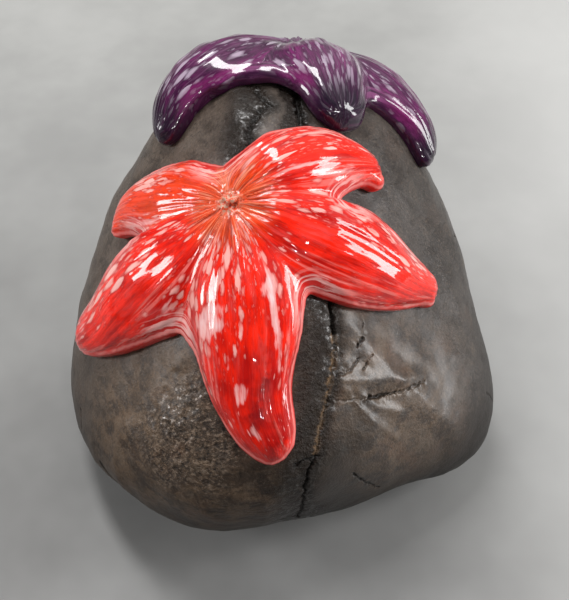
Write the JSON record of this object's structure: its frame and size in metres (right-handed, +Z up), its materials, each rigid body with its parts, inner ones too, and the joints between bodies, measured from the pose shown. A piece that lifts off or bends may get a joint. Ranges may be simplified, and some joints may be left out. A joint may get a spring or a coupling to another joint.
{
  "type": "glass starfish sculpture on a river stone",
  "caption": "Hand-made glass sculpture: a large red starfish and a smaller purple one draped over a dark river stone with a flat sawn foot.",
  "frame": {"origin": "on the floor under the middle of the sculpture's bounding box", "axes": "+Z up; -Y is the front, which the red starfish faces; +X to the viewer's right"},
  "size_m": [0.1749, 0.1878, 0.1498],
  "materials": {
    "stone": "water-worn, satin, with mineral veins",
    "red_glass": "clear gloss over opaque colour streaks",
    "purple_glass": "clear gloss over opaque colour flecks"
  },
  "bodies": {
    "root": {"stone": "stone", "red_star_disc": "red_glass", "red_star_arm_front": "red_glass", "red_star_arm_right": "red_glass", "red_star_arm_back_right": "red_glass", "red_star_arm_back_left": "red_glass", "red_star_arm_left": "red_glass", "purple_star": "purple_glass"}
  },
  "joints": []
}
